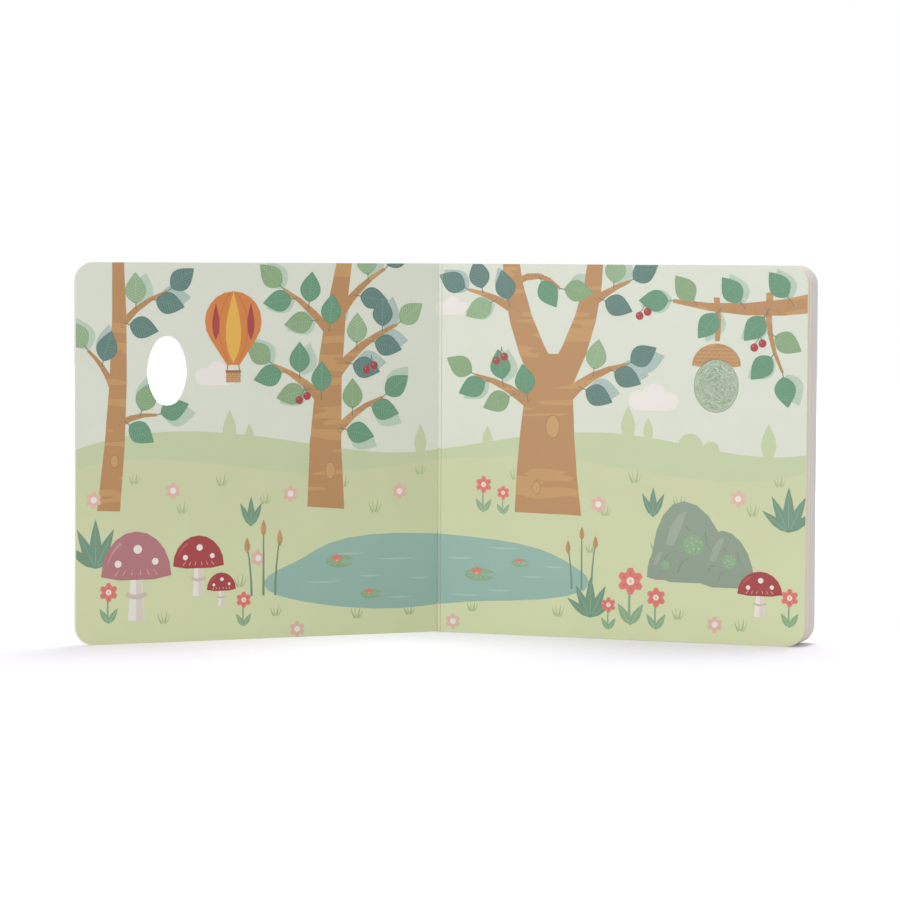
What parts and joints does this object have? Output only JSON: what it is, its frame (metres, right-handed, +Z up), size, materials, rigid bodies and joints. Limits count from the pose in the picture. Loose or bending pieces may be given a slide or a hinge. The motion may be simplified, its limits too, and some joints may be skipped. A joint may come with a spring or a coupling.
{
  "type": "touch-and-feel sound book",
  "caption": "Square board book standing half open: front cover with an oval hole, leaves with a fleece touch patch, and a back with a sound module.",
  "frame": {"origin": "middle of the standing book's footprint, on the surface it stands on", "axes": "+X along the first page from the gutter to the fore-edge, +Y away from the reader, +Z up"},
  "size_m": [0.3558, 0.1626, 0.2],
  "materials": {
    "leaf_board": "matte",
    "cover_board": "matte",
    "back_board": "matte",
    "sky_sheet": "satin",
    "plain_sheet": "satin",
    "outer_sheet": "satin",
    "fleece": "matte",
    "foam": "matte",
    "moulding": "satin",
    "knob": "satin",
    "screw": "satin",
    "steel": "satin",
    "contact": "satin",
    "membrane": "satin",
    "circuit": "satin",
    "potting": "gloss",
    "dome": "matte",
    "lead": "satin",
    "ink_hill": "satin",
    "ink_meadow": "satin",
    "ink_water": "satin",
    "ink_bark": "satin",
    "ink_leaf_dark": "satin",
    "ink_leaf_light": "satin",
    "ink_cream": "satin",
    "ink_red": "satin",
    "ink_mauve": "satin",
    "ink_coral": "satin",
    "ink_coral_pale": "satin",
    "ink_stone": "satin",
    "ink_orange": "satin",
    "ink_yellow": "satin"
  },
  "bodies": {
    "pages": {"page_block": "leaf_board", "page_facing": "sky_sheet", "last_facing": "plain_sheet", "gutter_strip": "sky_sheet", "spine_wrap": "outer_sheet", "page_print_hill": "ink_hill", "page_print_meadow": "ink_meadow", "page_print_water": "ink_water", "page_print_bark": "ink_bark", "page_print_leaf_dark": "ink_leaf_dark", "page_print_leaf_light": "ink_leaf_light", "page_print_cream": "ink_cream", "page_print_red": "ink_red", "page_print_coral": "ink_coral", "page_print_stone": "ink_stone", "page_print_coral_pale": "ink_coral_pale"},
    "front_cover": {"front_cover": "cover_board", "cover_facing": "sky_sheet", "cover_sheet": "outer_sheet", "cover_print_hill": "ink_hill", "cover_print_meadow": "ink_meadow", "cover_print_water": "ink_water", "cover_print_bark": "ink_bark", "cover_print_leaf_dark": "ink_leaf_dark", "cover_print_leaf_light": "ink_leaf_light", "cover_print_cream": "ink_cream", "cover_print_red": "ink_red", "cover_print_mauve": "ink_mauve", "cover_print_coral": "ink_coral", "cover_print_coral_pale": "ink_coral_pale", "cover_print_orange": "ink_orange", "cover_print_yellow": "ink_yellow"},
    "touch_button": {"fleece_patch": "fleece", "foam_pad": "foam", "touch_key": "moulding"},
    "switch_knob": {"switch_knob": "knob"},
    "back_cover": {"back_lining": "plain_sheet", "module_board": "back_board", "back_cover": "back_board", "back_sheet": "outer_sheet", "contact_dome": "dome", "module_shell": "moulding", "module_lid": "moulding", "battery_door": "moulding", "battery_screw": "screw", "lid_screws": "screw", "speaker_basket": "steel", "speaker_membrane": "membrane", "speaker_magnet": "steel", "speaker_gasket": "foam", "circuit_board": "circuit", "sound_chip": "potting", "small_parts": "potting", "switch_case": "steel", "speaker_leads": "lead", "button_cells": "steel", "cell_contacts": "contact"}
  },
  "joints": [
    {"name": "front_cover_hinge", "type": "hinge", "parent": "pages", "child": "front_cover", "pos_m": [-0.02734, 0.05996, 0], "axis": [0, 0, 1], "range_deg": [-43.6, 136.4]},
    {"name": "back_cover_hinge", "type": "hinge", "parent": "pages", "child": "back_cover", "pos_m": [-0.02734, 0.07333, 0], "axis": [0, 0, 1], "range_deg": [0, 180]},
    {"name": "button_press", "type": "slide", "parent": "back_cover", "child": "touch_button", "axis": [0, 1, 0], "range_m": [0, 0.001], "stiffness_N_per_m": 1500, "deforming": ["contact_dome"]},
    {"name": "switch_slide", "type": "slide", "parent": "back_cover", "child": "switch_knob", "axis": [1, 0, 0], "range_m": [0, 0.0025]}
  ]
}
